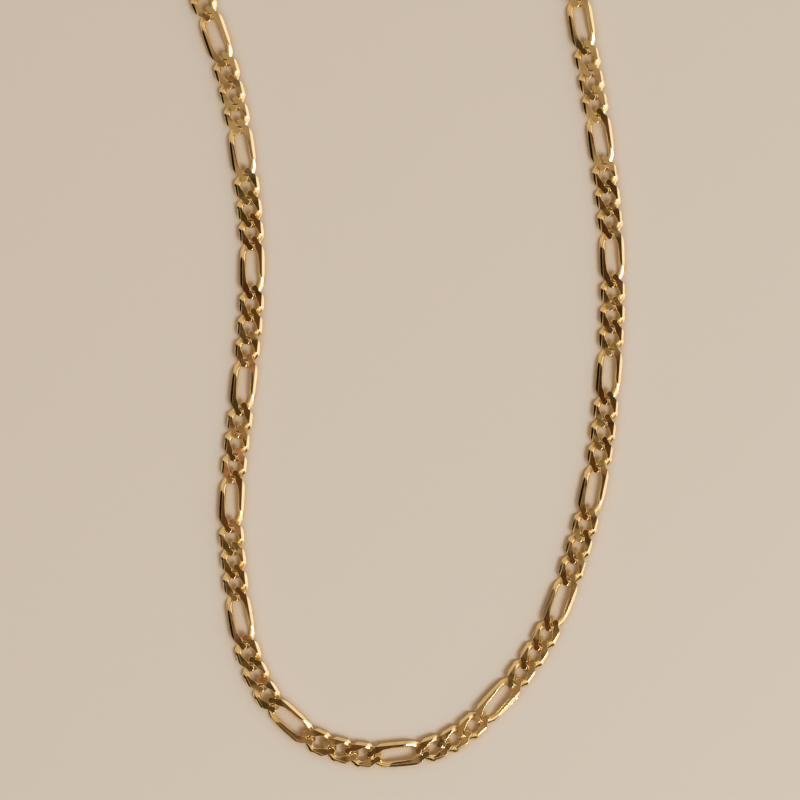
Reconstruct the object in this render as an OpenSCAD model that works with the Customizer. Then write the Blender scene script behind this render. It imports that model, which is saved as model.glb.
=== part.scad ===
// A figaro chain necklace, closed and lying flat. Three short links and one long link repeat all
// the way round. Each link is an oval of wire whose two ends are twisted opposite ways, so that it
// hooks through its neighbours at right angles, and the chain is then cut flat above and below and
// bevelled along both sides. X is to the right, Y away from the front of the necklace, Z up.

/* [Necklace] */
// Length round the closed necklace, to the nearest whole repeat
necklace_len = 450; // [400:5:600]
// Short links between one long link and the next
shorts_per_long = 3; // [1:1:5]

/* [Links] */
// Outer length of a short link
short_len = 5.85; // [5.6:0.05:6.6]
// Outer length of a long link
long_len = 10; // [8.5:0.1:13]
// Width across every link
link_w = 4; // [3.8:0.05:4.4]
// Thickness of the wire before it is cut
wire_d = 1; // [0.8:0.05:1.05]
// Free play between two hooked links
link_play = 0.2; // [0.15:0.01:0.35]
// Length of the rounded end of a link, from its straight sides to the tip of its middle line
end_len = 2; // [1.8:0.05:2.3]
// Twist of each end of a link out of the flat, in degrees
end_twist = 50; // [46:1:53]

/* [Cutting] */
// Thickness of the chain over its flat-cut faces
cut_t = 1; // [0.9:0.05:1.4]
// Width of the bevel along each side, seen from above
bevel_w = 0.5; // [0.3:0.05:0.7]
// Thickness left at the very edge, between the upper and the lower bevel
edge_t = 0.1; // [0.05:0.05:0.3]

/* [Clasp] */
// Length of the clasp over the two wire ends that hook into the chain
clasp_len = 12; // [11:0.5:15]
// Length of the clasp's box
box_len = 6.6; // [5:0.2:7]
// Width of the box
box_w = 4.8; // [4.4:0.1:6]
// Height of the box
box_t = 2.2; // [1.8:0.1:3]
// Width of the bevel round the box's top and bottom edges
box_bevel = 0.4; // [0.2:0.05:0.6]

/* [Hidden] */
GOLD = [0.86, 0.66, 0.33];
$fn = 48;

// The line that the necklace lies along, from the clasp down the left side, round the front and up
// the right side. The points are chosen by hand; the whole line is then sized to the links.
ROUTE = [
    [5.5, 130.5], [-11.5, 135.5], [-27.5, 130], [-38.5, 116.5], [-41.5, 99], [-38, 82.5], [-33, 68],
    [-28, 54], [-25, 39], [-23.5, 20.5], [-25, 2], [-27, -16], [-26.5, -26.5], [-25.5, -35.5],
    [-23, -44], [-18, -51.5], [-10, -56], [-0.5, -57], [8.5, -54.5], [15.5, -48.5], [21, -41.5],
    [25.5, -33], [31, -14.5], [33.5, 4.5], [34, 23.5], [32, 42.5], [29, 60.5], [26, 79], [24, 97],
    [18, 115]
];
POINTS = len(ROUTE);
REFINES = 4;

// Place on the line after u points of it, as a smooth curve through them all
function route_point(i) = ROUTE[(i + POINTS) % POINTS];
function route_at(u) = let (
    i = floor(u), f = u - i,
    a = route_point(i - 1), b = route_point(i), c = route_point(i + 1), d = route_point(i + 2)
) (2 * b + (c - a) * f + (2 * a - 5 * b + 4 * c - d) * f * f
    + (3 * b - a - 3 * c + d) * f * f * f) / 2;
// Millimetres of line for each point of it
function route_speed(u) = let (
    i = floor(u), f = u - i,
    a = route_point(i - 1), b = route_point(i), c = route_point(i + 1), d = route_point(i + 2)
) norm((c - a) + 2 * (2 * a - 5 * b + 4 * c - d) * f + 3 * (3 * b - a - 3 * c + d) * f * f) / 2;
// The place along the line that lies a straight distance ahead of u
function ahead(u, span) = nearer(u + span / route_speed(u), route_at(u), span, REFINES);
function nearer(v, from, span, left) = left == 0 ? v
    : nearer(v + (span - norm(route_at(v) - from)) / route_speed(v), from, span, left - 1);

// Sizes of the links
wire_r = wire_d / 2;
rail_x = (link_w - wire_d) / 2;
short_half = (short_len - wire_d) / 2;
long_half = (long_len - wire_d) / 2;
hook_gap = (wire_d + link_play) / 2;
chain_z = cut_t / 2;

// The pieces in order round the necklace, the clasp first, each as half its length from the middle
// of one end's wire to the middle of the other's. Two pieces hook at a joint halfway between the
// two wires that pass through each other.
clasp_half = (clasp_len - wire_d) / 2;
shorts_run = 2 * shorts_per_long * (short_half - hook_gap);
repeat_len = shorts_run + 2 * (long_half - hook_gap);
repeats = round((necklace_len - 2 * (clasp_half - hook_gap) - shorts_run) / repeat_len);
links = repeats * (shorts_per_long + 1) + shorts_per_long;
function is_long(i) = i % (shorts_per_long + 1) == shorts_per_long;
halves = [clasp_half, for (i = [0 : links - 1]) is_long(i) ? long_half : short_half];
spans = [for (half = halves) 2 * (half - hook_gap)];
function sum_to(list, i) = i < 0 ? 0 : list[i] + sum_to(list, i - 1);
total_len = sum_to(spans, len(spans) - 1);

// The joints' places along the line. The line is sized so that the last joint meets the first.
route_start = POINTS - spans[0] / 2 / route_speed(0);
function joints_at(size) = [
    for (i = 0, u = route_start; i <= len(spans); u = i < len(spans) ? ahead(u, spans[i] / size) : u,
        i = i + 1) u
];
function fitted(size, left) = left == 0 ? size : let (
    end = joints_at(size)[len(spans)],
    short_of = (route_start + POINTS - end) * route_speed(end)
) fitted(total_len / (total_len / size + short_of), left - 1);
route_size = fitted(1, REFINES);
line_joints = [for (u = joints_at(route_size)) route_at(u) * route_size];
xs = [for (j = line_joints) j.x];
ys = [for (j = line_joints) j.y];
middle = [min(xs) + max(xs), min(ys) + max(ys)] / 2;
joints = [for (j = line_joints) j - middle];

// The middle and the heading of one piece
function heading(i) = (joints[i + 1] - joints[i]) / norm(joints[i + 1] - joints[i]);
function centre(i) = (joints[i] + joints[i + 1]) / 2;
// A point of a piece, given as right of the heading, along it and up, set in its place
function set_at(p, c, h) = [c.x + p.x * h.y + p.y * h.x, c.y - p.x * h.x + p.y * h.y, p.z + chain_z];

// One link's wire as rings of section points. The ends are half ovals, the long link's sides have
// one station more where their flat middle starts.
SIDES = 6;
END_RINGS = 6;
END_STEP = 180 / END_RINGS;
OUTSIDE = 1 / cos(END_STEP / 2);
function end_oval(side, straight) = [
    for (a = [0 : END_RINGS - 1]) let (
        turn = (a + 0.5) * END_STEP + (side > 0 ? 0 : 180),
        on = [rail_x * cos(turn), end_len * sin(turn)] * OUTSIDE,
        out = [end_len * cos(turn), rail_x * sin(turn)]
    ) [on.x, side * straight + on.y, out.x / norm(out), out.y / norm(out)]
];
function rail(side, flat_half) = flat_half <= 0 ? []
    : [for (end = [1, -1]) [side * rail_x, -side * end * flat_half, side, 0]];
function stations(half) = let (straight = half - end_len, flat_half = half - short_half) concat(
    end_oval(1, straight), rail(-1, flat_half), end_oval(-1, straight), rail(1, flat_half)
);
function twisted(p, half) = let (
    flat_half = half - short_half,
    share = min(max(abs(p.y) - flat_half, 0) / short_half, 1),
    turn = end_twist * share * sign(p.y)
) [p.x * cos(turn) - p.z * sin(turn), p.y, p.x * sin(turn) + p.z * cos(turn)];

// The flat cut and the bevel, each pushing what stands proud of it back to its plane
bevel_slope = atan((cut_t - edge_t) / 2 / bevel_w);
bevel_reach = (link_w / 2 - bevel_w) * sin(bevel_slope) + cut_t / 2 * cos(bevel_slope);
function flat_cut(p) = [p.x, p.y, min(max(p.z, -cut_t / 2), cut_t / 2)];
function bevel_cut(p) = let (
    way = [sign(p.x) * sin(bevel_slope), 0, sign(p.z) * cos(bevel_slope)],
    proud = p * way - bevel_reach
) proud > 0 ? p - proud * way : p;
function link_points(half) = [
    for (s = stations(half), j = [0 : SIDES - 1]) let (turn = j * 360 / SIDES, out = wire_r * cos(turn))
        bevel_cut(flat_cut(twisted([s[0] + out * s[2], s[1] + out * s[3], wire_r * sin(turn)], half)))
];
short_points = link_points(short_half);
long_points = link_points(long_half);
function point_count(i) = len(is_long(i) ? long_points : short_points);
function link_faces(count, first) = let (rings = count / SIDES) [
    for (i = [0 : rings - 1], j = [0 : SIDES - 1], half = [0, 1]) let (
        near = first + i * SIDES, far = first + (i + 1) % rings * SIDES, k = (j + 1) % SIDES
    ) half == 0 ? [near + j, near + k, far + k] : [near + j, far + k, far + j]
];

// A run of links from one to another, in one mesh of separate closed links
module chain(from, to) {
    starts = [for (i = from, at = 0; i <= to; at = at + point_count(i), i = i + 1) at];
    polyhedron(
        points = [
            for (i = [from : to], p = is_long(i) ? long_points : short_points)
                set_at(p, centre(i + 1), heading(i + 1))
        ],
        faces = [for (i = [from : to]) each link_faces(point_count(i), starts[i - from])]
    );
}

// The two halves of the chain, which hook into each other at the front
split = floor(links / 2);
module chain_left() {
    color(GOLD) chain(0, split - 1);
}
module chain_right() {
    color(GOLD) chain(split, links - 1);
}

// A plain closed box clasp in one piece: a bevelled box on a wire with a link's two ends
module box_clasp() {
    wire_points = [for (p = link_points(clasp_half)) p + [0, 0, chain_z]];
    out = box_w / 2;
    color(GOLD) translate([centre(0).x, centre(0).y, 0])
        rotate([0, 0, atan2(heading(0).y, heading(0).x) - 90]) {
            polyhedron(points = wire_points, faces = link_faces(len(wire_points), 0));
            rotate([90, 0, 0]) linear_extrude(box_len, center = true) polygon([
                [box_bevel - out, 0], [out - box_bevel, 0], [out, box_bevel], [out, box_t - box_bevel],
                [out - box_bevel, box_t], [box_bevel - out, box_t], [-out, box_t - box_bevel],
                [-out, box_bevel]
            ]);
        }
}

chain_left();
chain_right();
box_clasp();
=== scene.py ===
# %% [markdown]
# # A figaro chain necklace in polished gold
#
# The necklace is a chain of flat-cut oval links, three short ones and then a long one, closed by a
# small box clasp. It lies flat on a pale surface and is seen from straight above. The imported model
# already holds every link in its place. This notebook finds those places, models the two kinds of
# link finely enough for a close look, sets a copy in every place and gives them their gold.

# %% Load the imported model
import math
import random

import bmesh
import bpy
import numpy as np
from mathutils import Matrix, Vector


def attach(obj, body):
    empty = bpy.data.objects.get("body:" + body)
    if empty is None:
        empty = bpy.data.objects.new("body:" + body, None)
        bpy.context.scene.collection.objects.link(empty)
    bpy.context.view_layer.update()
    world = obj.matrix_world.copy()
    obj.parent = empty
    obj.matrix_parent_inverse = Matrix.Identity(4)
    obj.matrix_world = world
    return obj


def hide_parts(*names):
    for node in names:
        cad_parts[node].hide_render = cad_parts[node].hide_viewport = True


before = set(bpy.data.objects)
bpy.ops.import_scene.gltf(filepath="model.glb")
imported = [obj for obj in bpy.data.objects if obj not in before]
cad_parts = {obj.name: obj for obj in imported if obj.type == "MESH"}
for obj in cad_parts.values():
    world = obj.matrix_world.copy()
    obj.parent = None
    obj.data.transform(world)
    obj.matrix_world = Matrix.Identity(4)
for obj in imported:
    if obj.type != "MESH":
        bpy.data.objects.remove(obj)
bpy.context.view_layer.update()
scene = bpy.context.scene
MM = 0.001
CHAIN_NODES = ("chain_left", "chain_right")

# %% [markdown]
# ## The camera
#
# The picture is taken from straight above, so the camera needs no turn at all: Blender's camera
# looks down its own -Z with +Y upwards. A long lens from about half a metre away keeps the flat
# necklace free of distortion. The lens follows from how much of the surface the picture takes in.

# %% Camera
VIEW_CENTRE = (3.7 * MM, -39.2 * MM)
VIEW_HEIGHT = 450 * MM
VIEW_FIELD = 128 * MM
SENSOR_WIDTH = 36

camera_data = bpy.data.cameras.new("camera")
camera_data.sensor_width = SENSOR_WIDTH
camera_data.lens = SENSOR_WIDTH * VIEW_HEIGHT / VIEW_FIELD
camera = bpy.data.objects.new("camera", camera_data)
camera.location = (*VIEW_CENTRE, VIEW_HEIGHT)
scene.collection.objects.link(camera)
scene.camera = camera
print("lens:", round(camera_data.lens, 1), "mm")

# %% [markdown]
# ## Where every link lies
#
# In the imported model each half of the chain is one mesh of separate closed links. A flood fill over
# shared edges takes it apart again. The middle of a link and the direction in which its points
# spread most give its place, and its length says which kind it is. The twisted ends pull that
# direction a little to one side of the link's own line, by the same angle in every link of a kind,
# so the angle is measured against the line from neighbour to neighbour and taken off.

# %% Take a node apart into its links
WELD = 1e-7


def loose_parts(node):
    """The corner points of each separate solid of a CAD node."""
    work = bmesh.new()
    work.from_mesh(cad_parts[node].data)
    bmesh.ops.remove_doubles(work, verts=work.verts, dist=WELD)
    work.verts.ensure_lookup_table()
    work.verts.index_update()
    seen = [False] * len(work.verts)
    parts = []
    for first in work.verts:
        if seen[first.index]:
            continue
        seen[first.index] = True
        part, edge = [], [first]
        while edge:
            vert = edge.pop()
            part.append(tuple(vert.co))
            for near in (e.other_vert(vert) for e in vert.link_edges):
                if not seen[near.index]:
                    seen[near.index] = True
                    edge.append(near)
        parts.append(np.array(part))
    work.free()
    return parts


def spread_angle(points):
    """Direction in plan along which the points spread most."""
    flat = points[:, :2] - points[:, :2].mean(0)
    sizes, ways = np.linalg.eigh(flat.T @ flat)
    return math.atan2(ways[1, -1], ways[0, -1])


def middle_of(points, angle):
    """Middle of the points' box, measured along and across a direction in plan, and its length."""
    along = np.array([math.cos(angle), math.sin(angle)])
    across = np.array([-along[1], along[0]])
    lengths, widths = points[:, :2] @ along, points[:, :2] @ across
    centre = along * (lengths.max() + lengths.min()) / 2 + across * (widths.max() + widths.min()) / 2
    return centre, lengths.max() - lengths.min()


links = []
for node in CHAIN_NODES:
    for points in loose_parts(node):
        angle = spread_angle(points)
        centre, length = middle_of(points, angle)
        links.append({"node": node, "centre": centre, "spread": angle, "length": length})
print("links found:", len(links))

# %% [markdown]
# The clasp's box has straight edges as long as itself, so the longest edge gives its direction.

# %% The clasp's place
CREASE = math.radians(20)
cad_clasp_points = np.concatenate(loose_parts("box_clasp"))


def longest_edge_angle(node):
    """Direction in plan of a node's longest level edge between two faces."""
    work = bmesh.new()
    work.from_mesh(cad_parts[node].data)
    bmesh.ops.remove_doubles(work, verts=work.verts, dist=WELD)
    steps = [edge.verts[1].co - edge.verts[0].co for edge in work.edges
             if edge.calc_face_angle(0) > CREASE]
    work.free()
    longest = max((step for step in steps if abs(step.z) < WELD), key=lambda step: step.length)
    return math.atan2(longest.y, longest.x)


clasp_angle = longest_edge_angle("box_clasp")
clasp_centre, clasp_length = middle_of(cad_clasp_points, clasp_angle)
print("clasp:", round(clasp_length / MM, 2), "mm long at", [round(v / MM, 2) for v in clasp_centre])

# %% [markdown]
# The line through a link's two neighbours is a good first heading. It needs the links in their order
# along the chain, which comes from walking from the clasp to the nearest link that is still left.

# %% Follow the chain and find each link's heading
KIND_SPLIT = 8 * MM


def turn_between(a, b):
    """Smallest turn from direction b to direction a, either way along a line."""
    return (a - b + math.pi / 2) % math.pi - math.pi / 2


route, here, left = [], clasp_centre, list(links)
while left:
    nearest = min(left, key=lambda link: np.linalg.norm(link["centre"] - here))
    left.remove(nearest)
    route.append(nearest)
    here = nearest["centre"]

middles = [clasp_centre] + [link["centre"] for link in route] + [clasp_centre]
for number, link in enumerate(route, start=1):
    step = middles[number + 1] - middles[number - 1]
    link["kind"] = "long" if link["length"] > KIND_SPLIT else "short"
    link["run"] = math.atan2(step[1], step[0])
for kind in ("short", "long"):
    same = [link for link in route if link["kind"] == kind]
    lean = sum(turn_between(link["spread"], link["run"]) for link in same) / len(same)
    for link in same:
        link["heading"] = link["run"] + turn_between(link["spread"] - lean, link["run"])
    print(kind, "links:", len(same), "lean:", round(math.degrees(lean), 2), "degrees")

# %% [markdown]
# ## The wire of one link
#
# A link starts as an oval of drawn wire. Both ends are then twisted out of the flat, opposite ways,
# so that each end can pass up through its neighbour. The mesh does the same: a rounded section is
# carried round the oval, and every point is turned about the link's long axis by an angle that
# grows towards the ends. The wire is fuller round the shoulders of the link and finer again at its
# tip, because the shoulders take the bending when the chain is rolled straight. The tilted wire
# keeps part of its sideways place, so that the two cut ends that meet lie close side by side. Where
# one wire passes over another, each is flattened on the side that faces the other. Beneath the cut
# face the wire is also a little narrower on its inner side, where the neighbour's tip lies.
#
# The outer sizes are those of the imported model. A close look at the chain gives the rest: a bevel a
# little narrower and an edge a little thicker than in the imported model, which was kept plainer.

# %% Sizes of the links
SHORT_LENGTH = 5.85 * MM
LONG_LENGTH = 10 * MM
LINK_WIDTH = 4 * MM
WIRE = 1 * MM
END_LENGTH = 2 * MM
END_TWIST = math.radians(50)
CUT_THICKNESS = 1 * MM
BEVEL_WIDTH = 0.45 * MM
EDGE_THICKNESS = 0.28 * MM

SIDE_WIDE, SHOULDER_WIDE, TIP_WIDE = 0.52 * MM, 0.92 * MM, 0.58 * MM
SIDE_TALL, TIP_TALL = 0.68 * MM, 0.49 * MM
SHOULDER_FROM, SHOULDER_TO = 0.5, 0.72
END_SHIFT = 0.01 * MM
UNDERSIDE, UNDERSIDE_AT = 0.39 * MM, 0.8 * MM
INNER_RELIEF, INNER_FROM = 0.18, 0.2
KEPT_SIDEWAYS = 0.2
END_SQUARENESS = 3.1
SECTION_POINTS = 20
END_STEPS = 24
RAIL_STEP = 0.3 * MM

RAIL = LINK_WIDTH / 2 - SIDE_WIDE
SHORT_HALF = (SHORT_LENGTH - WIRE) / 2
SHORT_TWIST_POWER, LONG_TWIST_POWER = 1.3, 2
print("straight sides of the wire:", round(2 * RAIL / MM, 2), "mm apart")

# %% [markdown]
# A curve with a bevel would give a round wire, but neither its changing width nor its twist could
# follow the cut form this closely. So the mesh is made ring by ring: the places round the oval come
# first, then the size and the turn of the section at each of them, and then the faces between one
# ring and the next.

# %% The line of the wire
def wire_stations(half):
    """Places round the oval: x, y and the outward direction in plan."""
    straight = half - END_LENGTH
    rail_steps = round(2 * straight / RAIL_STEP)
    power = 2 / END_SQUARENESS
    stations = []
    for side in (1, -1):
        for step in range(END_STEPS):
            turn = math.pi * (step + 0.5) / END_STEPS
            c, s = math.cos(turn), math.sin(turn)
            x, y = math.copysign(abs(c) ** power, c), s ** power
            out = Vector((math.copysign(abs(x) ** (END_SQUARENESS - 1), x) / RAIL,
                          y ** (END_SQUARENESS - 1) / END_LENGTH)).normalized()
            stations.append((side * RAIL * x, side * (straight + END_LENGTH * y),
                             side * out.x, side * out.y))
        for step in range(rail_steps):
            y = straight * (1 - 2 * (step + 0.5) / rail_steps)
            stations.append((-side * RAIL, side * y, -side, 0))
    return stations


print("places round a short link:", len(wire_stations(SHORT_HALF)))


# %% The size and the twist of the wire
def end_share(y, half):
    """How far into its end a point of a link is: 0 on the straight sides, 1 at the tip."""
    return min(max(abs(y) - (half - SHORT_HALF), 0) / SHORT_HALF, 1)


def smooth(part):
    """A share between 0 and 1 with a gentle start and end."""
    return part * part * (3 - 2 * part)


def eased(share, start, stop):
    """0 up to start and 1 from stop on, smoothly between them."""
    return smooth(min(max((share - start) / (stop - start), 0), 1))


def wire_size(share):
    """Half the wire's width, half its height and its shift outwards at a share of the end."""
    shoulder, tip = eased(share, 0, SHOULDER_FROM), eased(share, SHOULDER_TO, 1)
    wide = SIDE_WIDE + (SHOULDER_WIDE - SIDE_WIDE) * shoulder + (TIP_WIDE - SHOULDER_WIDE) * tip
    return wide, SIDE_TALL + (TIP_TALL - SIDE_TALL) * tip, END_SHIFT * shoulder


def twist_at(y, half):
    """Turn of a link about its long axis, none at its middle and most at its tips."""
    power = SHORT_TWIST_POWER if half == SHORT_HALF else LONG_TWIST_POWER
    return math.copysign(END_TWIST * min(abs(y) / half, 1) ** power, y)


def twisted(x, y, z, half):
    """A point of the wire turned with its end about the link's long axis."""
    turn = twist_at(y, half)
    sideways = z * math.sin(turn) * (1 - KEPT_SIDEWAYS)
    return x * math.cos(turn) - sideways, y, x * math.sin(turn) + z * math.cos(turn)


for place, share in (("side", 0), ("tip", 1)):
    half_width, half_height, _ = wire_size(share)
    print(place, "of the wire:", round(2 * half_width / MM, 2), "by", round(2 * half_height / MM, 2), "mm")


# %% Carry the section round one link
def wire_mesh(name, length):
    """The twisted wire of a link, before it is cut flat."""
    half = (length - WIRE) / 2
    stations = wire_stations(half)
    points = []
    for x, y, out_x, out_y in stations:
        wide, tall, shift = wire_size(end_share(y, half))
        lift = min(max(x * math.sin(twist_at(y, half)) / UNDERSIDE_AT, -1), 1)
        above = tall + (UNDERSIDE - tall) * max(-lift, 0)
        below = tall + (UNDERSIDE - tall) * max(lift, 0)
        inner = wide * (1 - INNER_RELIEF * abs(lift))
        for side in range(SECTION_POINTS):
            turn = 2 * math.pi * side / SECTION_POINTS
            full = math.cos(turn) > 0 or (lift > 0 and math.sin(turn) > INNER_FROM)
            out = shift + (wide if full else inner) * math.cos(turn)
            z = (above if math.sin(turn) > 0 else below) * math.sin(turn)
            points.append(twisted(x + out * out_x, y + out * out_y, z, half))
    count = len(stations)
    faces = []
    for ring in range(count):
        near, far = ring * SECTION_POINTS, (ring + 1) % count * SECTION_POINTS
        for side in range(SECTION_POINTS):
            after = (side + 1) % SECTION_POINTS
            faces.append((near + side, near + after, far + after, far + side))
    mesh = bpy.data.meshes.new(name)
    mesh.from_pydata(points, [], faces)
    return mesh


# %% [markdown]
# ## Cutting the chain flat
#
# The real chain is drawn through cutters that shave it flat above and below and bevel it along both
# sides. That is what gives the wide mirror faces and the bright line down each edge. Here the wire
# is intersected with a bar of the same bevelled section, and the new edges get a tiny rounding,
# since even a crisp polished edge catches the light along a thin line. Weighted normals keep the
# cut faces flat up to that rounding.

# %% The cutter's bar
def cutter_bar(length):
    """A bar with the section that the cutters leave."""
    half, flat = CUT_THICKNESS / 2, LINK_WIDTH / 2 - BEVEL_WIDTH
    edge, side = EDGE_THICKNESS / 2, LINK_WIDTH / 2
    section = [(flat, half), (-flat, half), (-side, edge), (-side, -edge), (-flat, -half),
               (flat, -half), (side, -edge), (side, edge)]
    points = [(x, y, z) for y in (-length, length) for x, z in section]
    count = len(section)
    faces = [tuple(range(count)), tuple(reversed(range(count, 2 * count)))]
    for i in range(count):
        faces.append(((i + 1) % count, i, i + count, (i + 1) % count + count))
    mesh = bpy.data.meshes.new("cutter")
    mesh.from_pydata(points, [], faces)
    return mesh


# %% [markdown]
# An exact boolean leaves very short edges where two cuts nearly meet, and the rounding would stop at
# them. They are welded first, so that the rounding runs on along every edge of a link. The clasp has
# no such edges and keeps the rounding's own limit.

# %% Cut one link and soften its edges
EDGE_ROUND = 0.036 * MM
EDGE_WELD = 0.035 * MM
EDGE_SEGMENTS = 2
EDGE_ANGLE = math.radians(24)


def add_object(name, mesh):
    """An object for a mesh, in the scene."""
    piece = bpy.data.objects.new(name, mesh)
    scene.collection.objects.link(piece)
    return piece


def face_outwards(piece):
    """Turns a closed mesh's faces outwards."""
    work = bmesh.new()
    work.from_mesh(piece.data)
    bmesh.ops.recalc_face_normals(work, faces=work.faces)
    work.to_mesh(piece.data)
    work.free()


def finished(piece, helpers):
    """The mesh of a piece with its modifiers applied. The piece and its helpers are removed."""
    graph = bpy.context.evaluated_depsgraph_get()
    mesh = bpy.data.meshes.new_from_object(piece.evaluated_get(graph), depsgraph=graph)
    for spare in (piece, *helpers):
        bpy.data.objects.remove(spare)
    return mesh


def soften_edges(piece, held=False):
    """A small rounding of every crisp edge, held back where edges are short if asked for."""
    piece.data.shade_smooth()
    weld = piece.modifiers.new("short edges", "WELD")
    weld.merge_threshold = EDGE_WELD
    rounding = piece.modifiers.new("edge rounding", "BEVEL")
    rounding.width = EDGE_ROUND
    rounding.use_clamp_overlap = held
    rounding.segments = EDGE_SEGMENTS
    rounding.limit_method = "ANGLE"
    rounding.angle_limit = EDGE_ANGLE
    shading = piece.modifiers.new("flat faces", "WEIGHTED_NORMAL")
    shading.mode = "FACE_AREA"


def combine(piece, other, operation):
    """An exact boolean of one closed mesh with another, left as a modifier."""
    for solid in (piece, other):
        face_outwards(solid)
    boolean = piece.modifiers.new(operation.lower(), "BOOLEAN")
    boolean.object, boolean.operation, boolean.solver = other, operation, "EXACT"


def cut_link(name, length):
    """One finished link, lying along Y with its middle at the origin."""
    piece = add_object(name, wire_mesh(name, length))
    bar = add_object("cutter", cutter_bar(length))
    combine(piece, bar, "INTERSECT")
    soften_edges(piece)
    return finished(piece, [bar])


link_meshes = {
    "short": cut_link("short_link", SHORT_LENGTH),
    "long": cut_link("long_link", LONG_LENGTH),
}
for kind, mesh in link_meshes.items():
    mesh.calc_loop_triangles()
    print(kind, "link:", len(mesh.loop_triangles), "triangles")

# %% [markdown]
# ## Setting the links in their places
#
# No two links of a real chain lie quite alike. Each leans a degree or two on its neighbours, and
# the two ends of one link are never cut in quite the same plane, so that every mirror face shows
# another patch of the room. Each copy gets its own small lean, and each of its ends a smaller one
# about its own middle, which leaves the hooked wires where they were. All the links keep one height
# for the same reason, and a corner that leans into the surface stays just above it. The copies of
# one node are gathered into one mesh, with the finished normals turned along.

# %% A lean for each copy
LEAN_SEED = 11
random.seed(LEAN_SEED)
LEAN_ROLL = math.radians(1.2)
LEAN_PITCH = math.radians(0.4)
END_ROLL = math.radians(2.6)
END_PITCH = math.radians(2.6)
END_MIDDLE = 1.1 * MM
FLOOR_GAP = 0.02 * MM
LOWEST = 0.01 * MM


def mesh_arrays(mesh):
    """Points, face corners, face sizes and corner normals of a mesh."""
    points = np.empty(len(mesh.vertices) * 3)
    mesh.vertices.foreach_get("co", points)
    corners = np.empty(len(mesh.loops), int)
    mesh.loops.foreach_get("vertex_index", corners)
    sizes = np.empty(len(mesh.polygons), int)
    mesh.polygons.foreach_get("loop_total", sizes)
    normals = np.array([normal.vector for normal in mesh.corner_normals])
    return points.reshape(-1, 3), corners, sizes, normals


def leaned(points, normals, corners, length):
    """One link's points and normals with a lean of its own and one more at each end."""
    half = length / 2
    roll, pitch = (random.uniform(-most, most) for most in (LEAN_ROLL, LEAN_PITCH))
    points = points.copy()
    slope_x = np.full(len(points), roll)
    slope_y = np.full(len(points), pitch)
    lift = roll * points[:, 0] + pitch * points[:, 1]
    for side in (1, -1):
        end_roll, end_pitch = (random.uniform(-most, most) for most in (END_ROLL, END_PITCH))
        share = smooth(np.clip(side * points[:, 1] / (half - END_MIDDLE), 0, 1))
        from_middle = points[:, 1] - side * (half - END_MIDDLE)
        lift += share * (end_roll * points[:, 0] + end_pitch * from_middle)
        slope_x += share * end_roll
        slope_y += share * end_pitch
    points[:, 2] += lift
    tilted = normals.copy()
    tilted[:, 0] -= slope_x[corners] * normals[:, 2]
    tilted[:, 1] -= slope_y[corners] * normals[:, 2]
    tilted[:, 2] += slope_x[corners] * normals[:, 0] + slope_y[corners] * normals[:, 1]
    return points, tilted / np.linalg.norm(tilted, axis=1, keepdims=True)


def placed(points, normals, centre, heading):
    """Points and normals turned to a heading and set at a place, no lower than the surface."""
    turn = heading - math.pi / 2
    c, s = math.cos(turn), math.sin(turn)
    matrix = np.array([[c, -s, 0], [s, c, 0], [0, 0, 1]])
    out = points @ matrix.T
    out[:, :2] += centre
    out[:, 2] = np.maximum(out[:, 2] + CUT_THICKNESS / 2 + FLOOR_GAP, LOWEST)
    return out, normals @ matrix.T


# %% Gather the links of one node
def gather(name, parts):
    """One mesh from many parts, each given as points, corners, face sizes, normals and attributes."""
    points = np.concatenate([part["points"] for part in parts])
    starts = np.cumsum([0] + [len(part["points"]) for part in parts])
    corners = np.concatenate([part["corners"] + start for part, start in zip(parts, starts)])
    sizes = np.concatenate([part["sizes"] for part in parts])
    mesh = bpy.data.meshes.new(name)
    mesh.vertices.add(len(points))
    mesh.vertices.foreach_set("co", points.ravel())
    mesh.loops.add(len(corners))
    mesh.loops.foreach_set("vertex_index", corners)
    mesh.polygons.add(len(sizes))
    mesh.polygons.foreach_set("loop_start", np.cumsum(sizes) - sizes)
    mesh.update(calc_edges=True)
    mesh.shade_smooth()
    for key, kind in (("link_place", "FLOAT_VECTOR"), ("link_chance", "FLOAT")):
        layer = mesh.attributes.new(key, kind, "POINT")
        layer.data.foreach_set("vector" if kind == "FLOAT_VECTOR" else "value",
                               np.concatenate([part[key] for part in parts]).ravel())
    mesh.normals_split_custom_set(np.concatenate([part["normals"] for part in parts]).tolist())
    return mesh


def make_chain(node):
    """The finished links of one node as one piece."""
    parts = []
    for link in (link for link in route if link["node"] == node):
        points, corners, sizes, normals = link_arrays[link["kind"]]
        length = LONG_LENGTH if link["kind"] == "long" else SHORT_LENGTH
        chance = random.random()
        own_points, own_normals = leaned(points, normals, corners, length)
        set_points, set_normals = placed(own_points, own_normals, link["centre"], link["heading"])
        parts.append({
            "points": set_points, "corners": corners, "sizes": sizes, "normals": set_normals,
            "link_place": points / MM, "link_chance": np.full(len(points), chance),
        })
    return add_object(node + "_links", gather(node + "_links", parts))


link_arrays = {kind: mesh_arrays(mesh) for kind, mesh in link_meshes.items()}
chains = {node: make_chain(node) for node in CHAIN_NODES}
for node, piece in chains.items():
    piece.data.calc_loop_triangles()
    print(piece.name, len(piece.data.loop_triangles), "triangles")

# %% [markdown]
# ## The clasp
#
# The clasp lies past the top of the picture, so its form is a plain guess: a small box clasp, shut,
# in one piece. Its box is bevelled along both sides and parted by a fine seam, where the lid of a
# real one meets its tray. A link's wire runs through it, so that it hooks into the chain at both
# ends just as a link does. The box is built as level outlines one above the other, drawn in a
# little where the bevels and the seam are.

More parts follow.
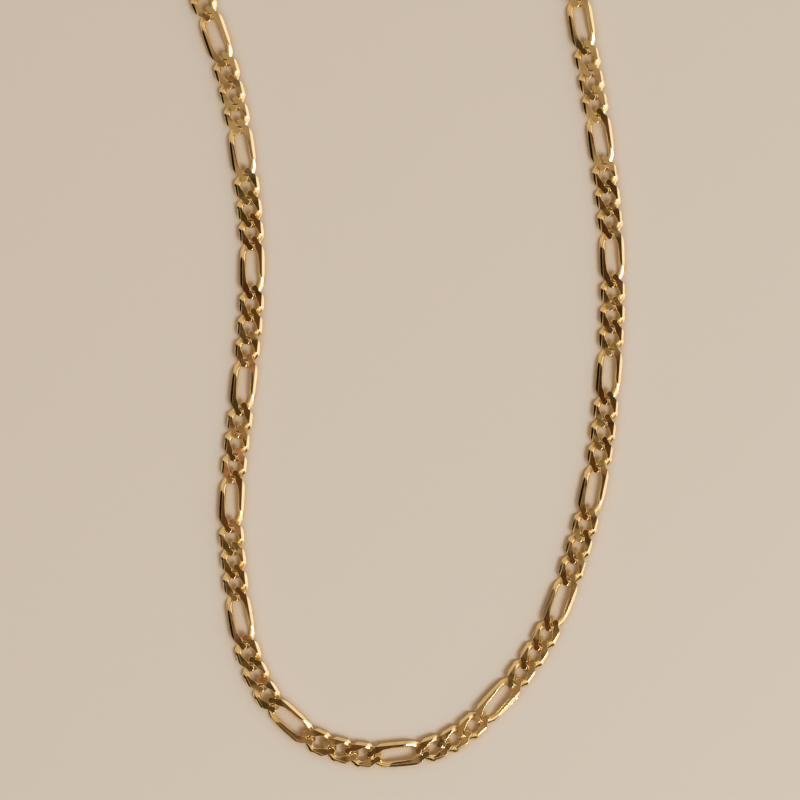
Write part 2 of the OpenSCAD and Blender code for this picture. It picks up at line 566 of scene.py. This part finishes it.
# %% The clasp's box
CLASP_LENGTH = 12 * MM
BOX_LENGTH, BOX_WIDTH, BOX_HEIGHT, BOX_BEVEL = 6.6 * MM, 4.8 * MM, 2.18 * MM, 0.4 * MM
SEAM_AT, SEAM_WIDTH, SEAM_DEPTH = 1.2 * MM, 0.07 * MM, 0.1 * MM
CLASP_CHANCE = 0.5


def box_mesh(name):
    """The clasp's box with its bevels and its seam, standing at the height of a link's middle."""
    low, high = SEAM_AT - SEAM_WIDTH / 2, SEAM_AT + SEAM_WIDTH / 2
    levels = [(0, BOX_BEVEL, 0), (BOX_BEVEL, 0, 0), (low, 0, 0), (low, SEAM_DEPTH, SEAM_DEPTH),
              (high, SEAM_DEPTH, SEAM_DEPTH), (high, 0, 0), (BOX_HEIGHT - BOX_BEVEL, 0, 0),
              (BOX_HEIGHT, BOX_BEVEL, 0)]
    points = []
    for z, in_x, in_y in levels:
        x, y = BOX_WIDTH / 2 - in_x, BOX_LENGTH / 2 - in_y
        points += [(sx * x, sy * y, z - CUT_THICKNESS / 2)
                   for sx, sy in ((1, 1), (-1, 1), (-1, -1), (1, -1))]
    last = 4 * (len(levels) - 1)
    faces = [(3, 2, 1, 0), (last, last + 1, last + 2, last + 3)]
    for level in range(len(levels) - 1):
        for side in range(4):
            near, far = 4 * level + side, 4 * level + (side + 1) % 4
            faces.append((near, far, far + 4, near + 4))
    mesh = bpy.data.meshes.new(name)
    mesh.from_pydata(points, [], faces)
    return mesh


# %% Join the box and its wire
clasp_body = add_object("clasp_body", box_mesh("clasp_body"))
clasp_wire = add_object("clasp_wire", wire_mesh("clasp_wire", CLASP_LENGTH))
clasp_bar = add_object("cutter", cutter_bar(CLASP_LENGTH))
combine(clasp_wire, clasp_bar, "INTERSECT")
combine(clasp_body, clasp_wire, "UNION")
soften_edges(clasp_body, held=True)
clasp_points, clasp_corners, clasp_sizes, clasp_normals = mesh_arrays(
    finished(clasp_body, [clasp_wire, clasp_bar]))
foot = -CUT_THICKNESS / 2
clasp_points[:, 2] = np.clip(clasp_points[:, 2], foot, foot + BOX_HEIGHT)
set_points, set_normals = placed(clasp_points, clasp_normals, clasp_centre, clasp_angle)
clasp = add_object("box_clasp_fine", gather("box_clasp_fine", [{
    "points": set_points, "corners": clasp_corners, "sizes": clasp_sizes, "normals": set_normals,
    "link_place": clasp_points / MM, "link_chance": np.full(len(clasp_points), CLASP_CHANCE),
}]))
clasp.data.calc_loop_triangles()
print("clasp:", len(clasp.data.loop_triangles), "triangles")

# %% [markdown]
# ## The gold
#
# Polished gold is nearly all reflection: a warm base colour, full metal and little roughness. What
# keeps it from looking like plastic is the finish. The cutters leave fine lines along the chain on
# the flat faces, and polishing leaves very shallow waves. Both are bump, built once as a node
# group, since the clasp is finished the same way.

# %% A helper for shader nodes
def new_node(tree, kind, **values):
    """A shader node with its named inputs set."""
    node = tree.nodes.new(kind)
    for key, value in values.items():
        if key in node.inputs:
            node.inputs[key].default_value = value
        else:
            setattr(node, key, value)
    return node


# %% A node group for a polished metal surface
CHANCE_SPREAD = 37
WAVE_SCALE = 0.9
LINE_STRETCH = (16, 0.5, 16)
PATCH_FROM, PATCH_TO = 0.35, 0.7


def polish_group():
    """Shallow polishing waves and fine cutter's lines, as a height, and a mask of worn patches."""
    group = bpy.data.node_groups.new("polished_metal", "ShaderNodeTree")
    for name, kind, value in (
        ("Place", "NodeSocketVector", None), ("Chance", "NodeSocketFloat", 0),
        ("Waves", "NodeSocketFloat", 1), ("Lines", "NodeSocketFloat", 1),
    ):
        socket = group.interface.new_socket(name=name, in_out="INPUT", socket_type=kind)
        if value is not None:
            socket.default_value = value
    group.interface.new_socket(name="Height", in_out="OUTPUT", socket_type="NodeSocketFloat")
    group.interface.new_socket(name="Patches", in_out="OUTPUT", socket_type="NodeSocketFloat")
    enter, leave = group.nodes.new("NodeGroupInput"), group.nodes.new("NodeGroupOutput")
    join = group.links.new

    shift = new_node(group, "ShaderNodeVectorMath", operation="ADD")
    spread = new_node(group, "ShaderNodeMath", operation="MULTIPLY")
    spread.inputs[1].default_value = CHANCE_SPREAD
    join(enter.outputs["Chance"], spread.inputs[0])
    join(enter.outputs["Place"], shift.inputs[0])
    join(spread.outputs[0], shift.inputs[1])

    waves = new_node(group, "ShaderNodeTexNoise", Scale=WAVE_SCALE, Detail=2.0, Roughness=0.4)
    join(shift.outputs[0], waves.inputs["Vector"])
    along = new_node(group, "ShaderNodeMapping")
    along.inputs["Scale"].default_value = LINE_STRETCH
    join(shift.outputs[0], along.inputs["Vector"])
    lines = new_node(group, "ShaderNodeTexNoise", Scale=1.0, Detail=3.0, Roughness=0.6)
    join(along.outputs[0], lines.inputs["Vector"])

    tall_waves = new_node(group, "ShaderNodeMath", operation="MULTIPLY")
    join(waves.outputs["Fac"], tall_waves.inputs[0])
    join(enter.outputs["Waves"], tall_waves.inputs[1])
    tall_lines = new_node(group, "ShaderNodeMath", operation="MULTIPLY")
    join(lines.outputs["Fac"], tall_lines.inputs[0])
    join(enter.outputs["Lines"], tall_lines.inputs[1])
    height = new_node(group, "ShaderNodeMath", operation="ADD")
    join(tall_waves.outputs[0], height.inputs[0])
    join(tall_lines.outputs[0], height.inputs[1])
    join(height.outputs[0], leave.inputs["Height"])

    patches = new_node(group, "ShaderNodeMapRange")
    patches.inputs["From Min"].default_value = PATCH_FROM
    patches.inputs["From Max"].default_value = PATCH_TO
    join(waves.outputs["Fac"], patches.inputs["Value"])
    join(patches.outputs["Result"], leave.inputs["Patches"])
    return group


POLISH = polish_group()
print("nodes in the polish group:", len(POLISH.nodes))

# %% [markdown]
# The colour and the roughness change a little between patches, so that no two faces shine quite
# alike. The place and the chance stored with every point of the mesh keep these patches the same
# on a link wherever it lies, and different from link to link.

# %% The gold itself
GOLD = (0.94, 0.78, 0.46, 1)
GOLD_DEEP = (0.90, 0.71, 0.39, 1)
SMOOTHEST, ROUGHEST = 0.06, 0.10
FINISH_DEPTH = 0.004 * MM


def gold_material(name, waves, lines):
    """Polished gold whose finish follows each link."""
    material = bpy.data.materials.new(name)
    material.use_nodes = True
    tree = material.node_tree
    shader = tree.nodes["Principled BSDF"]
    shader.inputs["Metallic"].default_value = 1
    place = new_node(tree, "ShaderNodeAttribute", attribute_name="link_place")
    chance = new_node(tree, "ShaderNodeAttribute", attribute_name="link_chance")
    polish = new_node(tree, "ShaderNodeGroup", node_tree=POLISH)
    polish.inputs["Waves"].default_value = waves
    polish.inputs["Lines"].default_value = lines
    join = tree.links.new
    join(place.outputs["Vector"], polish.inputs["Place"])
    join(chance.outputs["Fac"], polish.inputs["Chance"])

    colour = new_node(tree, "ShaderNodeMix", data_type="RGBA")
    colour.inputs["A"].default_value = GOLD
    colour.inputs["B"].default_value = GOLD_DEEP
    join(polish.outputs["Patches"], colour.inputs["Factor"])
    join(colour.outputs["Result"], shader.inputs["Base Color"])

    rough = new_node(tree, "ShaderNodeMapRange")
    rough.inputs["To Min"].default_value = SMOOTHEST
    rough.inputs["To Max"].default_value = ROUGHEST
    join(polish.outputs["Patches"], rough.inputs["Value"])
    join(rough.outputs["Result"], shader.inputs["Roughness"])

    bump = new_node(tree, "ShaderNodeBump", Strength=1.0, Distance=FINISH_DEPTH)
    join(polish.outputs["Height"], bump.inputs["Height"])
    join(bump.outputs["Normal"], shader.inputs["Normal"])
    return material


chain_gold = gold_material("chain_gold", waves=1.0, lines=0.06)
for piece in chains.values():
    piece.data.materials.append(chain_gold)
clasp_gold = gold_material("clasp_gold", waves=1.5, lines=0.03)
clasp.data.materials.append(clasp_gold)
print("golds:", chain_gold.name, clasp_gold.name)

# %% [markdown]
# ## Taking the imported model's place
#
# Every finished piece stands in for its node of the imported model. Nothing in the necklace turns
# about a fixed axis, so all of it belongs to the one body.

# %% Hand the pieces over
for node, piece in chains.items():
    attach(piece, "root")
    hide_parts(node)
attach(clasp, "root")
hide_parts("box_clasp")
print("pieces handed over:", len(chains) + 1)

# %% [markdown]
# ## The surface
#
# The necklace lies on a plain pale surface. It is almost matt, so that it takes the soft shadows and
# lights the undersides of the links without showing anything of its own. Gold throws a warm glow on
# what lies close beside it, most of all inside the small holes of the links. Following that light
# from the lamp would take far more samples, so a warm glow and shade are painted into the surface
# instead: its colour turns to a darker warm tan where the links hem it in.

# %% The surface
FLOOR_SIZE = 4
FLOOR_COLOUR = (0.62, 0.575, 0.52, 1)
# The colour of the painted warm glow and painted shade where the links hem the surface in.
GLOW_AND_SHADE_COLOUR = (0.62, 0.47, 0.31, 1)
GLOW_REACH = 2.2 * MM
GLOW_OPEN, GLOW_CLOSED = 0.97, 0.5
GLOW_SAMPLES = 8
FLOOR_ROUGHNESS, FLOOR_SHINE = 0.9, 0.1

floor_mesh = bpy.data.meshes.new("surface")
reach = FLOOR_SIZE / 2
floor_corners = [(-reach, -reach, 0), (reach, -reach, 0), (reach, reach, 0), (-reach, reach, 0)]
floor_mesh.from_pydata(floor_corners, [], [(0, 1, 2, 3)])
floor = add_object("surface", floor_mesh)
floor_material = bpy.data.materials.new("pale_surface")
floor_material.use_nodes = True
floor_tree = floor_material.node_tree
floor_shader = floor_tree.nodes["Principled BSDF"]
# Painted glow and shade: ambient occlusion from the links mixes the surface colour towards a darker warm
# tan.
hemmed_in = new_node(floor_tree, "ShaderNodeAmbientOcclusion", samples=GLOW_SAMPLES, Distance=GLOW_REACH)
glow_and_shade_mask = new_node(floor_tree, "ShaderNodeMapRange")
glow_and_shade_mask.inputs["From Min"].default_value = GLOW_OPEN
glow_and_shade_mask.inputs["From Max"].default_value = GLOW_CLOSED
floor_tree.links.new(hemmed_in.outputs["AO"], glow_and_shade_mask.inputs["Value"])
floor_colour = new_node(floor_tree, "ShaderNodeMix", data_type="RGBA")
floor_colour.inputs["A"].default_value = FLOOR_COLOUR
floor_colour.inputs["B"].default_value = GLOW_AND_SHADE_COLOUR
floor_tree.links.new(glow_and_shade_mask.outputs["Result"], floor_colour.inputs["Factor"])
floor_tree.links.new(floor_colour.outputs["Result"], floor_shader.inputs["Base Color"])
floor_shader.inputs["Roughness"].default_value = FLOOR_ROUGHNESS
floor_shader.inputs["Specular IOR Level"].default_value = FLOOR_SHINE
floor_mesh.materials.append(floor_material)
print("surface:", FLOOR_SIZE, "m wide")

# %% [markdown]
# ## The room and the light
#
# Polished gold shows the room more than itself. Seen from straight above, the flat faces mirror a
# small piece of ceiling and the bevels mirror what stands round the horizon. The world is therefore
# built like a set: a warm room, cards round it, and a ceiling. A few helpers keep its nodes short.

# %% Helpers for the room
world = bpy.data.worlds.new("studio")
scene.world = world
world.use_nodes = True
room = world.node_tree
join = room.links.new
sky = room.nodes["Background"]


def room_math(operation, *values):
    """A maths node with each value given as a number or a socket."""
    node = new_node(room, "ShaderNodeMath", operation=operation)
    for socket, value in zip(node.inputs, values):
        if isinstance(value, (int, float)):
            socket.default_value = value
        else:
            join(value, socket)
    return node.outputs[0]


def soft_step(value, start, stop):
    """0 below start and 1 above stop, smoothly between them."""
    node = new_node(room, "ShaderNodeMapRange", interpolation_type="SMOOTHSTEP")
    node.inputs["From Min"].default_value, node.inputs["From Max"].default_value = start, stop
    join(value, node.inputs["Value"])
    return node.outputs["Result"]


def laid_over(under, colour, mask):
    """A colour laid over another where the mask is 1."""
    node = new_node(room, "ShaderNodeMix", data_type="RGBA")
    join(mask, node.inputs["Factor"])
    for name, value in (("A", under), ("B", colour)):
        if isinstance(value, tuple):
            node.inputs[name].default_value = (*value, 1)
        else:
            join(value, node.inputs[name])
    return node.outputs["Result"]


def ramp_of(value, stops, blend="LINEAR"):
    """A colour ramp with the given positions and colours."""
    node = new_node(room, "ShaderNodeValToRGB")
    ramp = node.color_ramp
    ramp.interpolation = blend
    ramp.elements.remove(ramp.elements[-1])
    for number, (position, colour) in enumerate(stops):
        stop = ramp.elements.new(position) if number else ramp.elements[0]
        stop.position, stop.color = position, (*colour, 1)
    join(value, node.inputs["Fac"])
    return node.outputs["Color"]


# %% [markdown]
# The cards stand on the horizon, each over a range of azimuth. A dark one on the left gives the
# near-black bevels, and a wide pale one on the right, like a window, gives the cream ones. Beneath
# them all lies a warm room that is palest halfway up.

# %% The room and its cards
ROOM_STOPS = (
    # sine of the height above the horizon, colour
    (0.0, (0.50, 0.36, 0.23)),
    (0.25, (0.84, 0.63, 0.40)),
    (0.55, (0.86, 0.64, 0.38)),
    (0.80, (0.52, 0.38, 0.22)),
)
CARDS = (
    # azimuth, half width, soft edge, lowest, highest, soft edge above, colour
    (115, 55, 15, -5, 26, 10, (0.62, 0.50, 0.36)),
    (196, 38, 12, -5, 20, 8, (0.007, 0.005, 0.003)),
    (272, 34, 12, 30, 52, 10, (1.20, 1.10, 1.05)),
    (264, 32, 12, -5, 16, 9, (0.060, 0.050, 0.028)),
    (-8, 52, 14, -5, 40, 16, (1.10, 1.02, 1.00)),
)
SOFT_BELOW = 1
SMALLEST = 1e-4

way = new_node(room, "ShaderNodeTexCoord").outputs["Generated"]
axes = new_node(room, "ShaderNodeSeparateXYZ")
join(way, axes.inputs[0])
x_squared, y_squared = (room_math("MULTIPLY", axes.outputs[name], axes.outputs[name]) for name in "XY")
level = room_math("MAXIMUM", room_math("SQRT", room_math("ADD", x_squared, y_squared)), SMALLEST)
east, north = (room_math("DIVIDE", axes.outputs[name], level) for name in "XY")
height = room_math("MULTIPLY", room_math("ARCSINE", axes.outputs["Z"]), math.degrees(1))

room_colour = ramp_of(axes.outputs["Z"], ROOM_STOPS)
for azimuth, half, soft, low, high, above, colour in CARDS:
    turn = math.radians(azimuth)
    facing = room_math("ADD", room_math("MULTIPLY", east, math.cos(turn)),
                       room_math("MULTIPLY", north, math.sin(turn)))
    beside = soft_step(facing, math.cos(math.radians(half + soft)), math.cos(math.radians(half - soft)))
    below_top = room_math("SUBTRACT", 1, soft_step(height, high, high + above))
    above_foot = soft_step(height, low - SOFT_BELOW, low)
    mask = room_math("MULTIPLY", beside, room_math("MULTIPLY", below_top, above_foot))
    room_colour = laid_over(room_colour, colour, mask)
print("cards round the room:", len(CARDS))

# %% [markdown]
# The ceiling is a patchwork: dark beams and boards, brown and red ones, and some pale ones. A small
# lean of a link is enough to show it another patch, which is why each flat face has one even tone
# and its neighbour quite another. Voronoi cells give patches of one colour each, and a ramp with
# constant steps says how many patches get which colour. The far end of the ceiling is one pale tan,
# and the near end is warmer and lighter than the middle.

# %% The ceiling
CEILING_CELL = 0.042
BACK_FROM, BACK_TO = 0.09, 0.13
FRONT_FROM, FRONT_TO = -0.05, -0.09
CEILING_FROM, CEILING_TO = 0.86, 0.95
BLACK_OLIVE, DARK_OLIVE = (0.022, 0.018, 0.006), (0.050, 0.042, 0.014)
DEEP_RED, RED_BROWN = (0.058, 0.021, 0.007), (0.115, 0.046, 0.014)
BRONZE, SALMON, TAN = (0.35, 0.225, 0.12), (0.47, 0.24, 0.16), (0.41, 0.30, 0.18)
CEILING_STOPS = (
    # where each colour starts, as a share of all the patches
    (0.0, BLACK_OLIVE), (0.20, DARK_OLIVE), (0.38, DEEP_RED), (0.54, RED_BROWN), (0.76, SALMON),
    (0.85, TAN),
)
FRONT_STOPS = (
    (0.0, DARK_OLIVE), (0.20, DEEP_RED), (0.36, RED_BROWN), (0.52, BRONZE), (0.88, TAN),
)

cells = new_node(room, "ShaderNodeTexVoronoi", Scale=1 / CEILING_CELL)
join(way, cells.inputs["Vector"])
cell_value = new_node(room, "ShaderNodeSeparateColor")
join(cells.outputs["Color"], cell_value.inputs["Color"])
ceiling = ramp_of(cell_value.outputs["Red"], CEILING_STOPS, "CONSTANT")
front_ceiling = ramp_of(cell_value.outputs["Red"], FRONT_STOPS, "CONSTANT")
ceiling = laid_over(ceiling, front_ceiling, soft_step(axes.outputs["Y"], FRONT_FROM, FRONT_TO))
ceiling = laid_over(ceiling, TAN, soft_step(axes.outputs["Y"], BACK_FROM, BACK_TO))
overhead = soft_step(axes.outputs["Z"], CEILING_FROM, CEILING_TO)
room_colour = laid_over(room_colour, ceiling, overhead)
join(room_colour, sky.inputs["Color"])
print("nodes in the room:", len(room.nodes))

# %% [markdown]
# One large soft lamp from the right and the front gives the shadows on the surface. Its light is a
# little cool, to balance the warm room, and soft enough to leave no hard edge beside a thin chain.
# The Standard view shows every colour as it is set, without a film's curve over it.

# %% The lamp
KEY_FROM = Vector((0.75, -0.7, 0.95)).normalized()
KEY_DISTANCE = 1.2
KEY_SIZE = 0.5
KEY_POWER = 9.1
KEY_COLOUR = (0.84, 0.93, 1)

key_data = bpy.data.lights.new("key", "AREA")
key_data.size = KEY_SIZE
key_data.energy = KEY_POWER
key_data.color = KEY_COLOUR
key = bpy.data.objects.new("key", key_data)
key.location = Vector((*VIEW_CENTRE, 0)) + KEY_FROM * KEY_DISTANCE
key.rotation_euler = KEY_FROM.to_track_quat("Z", "Y").to_euler()
scene.collection.objects.link(key)
scene.view_settings.view_transform = "Standard"
print("lamp:", KEY_POWER, "W, aimed at", [round(v / MM, 1) for v in VIEW_CENTRE])
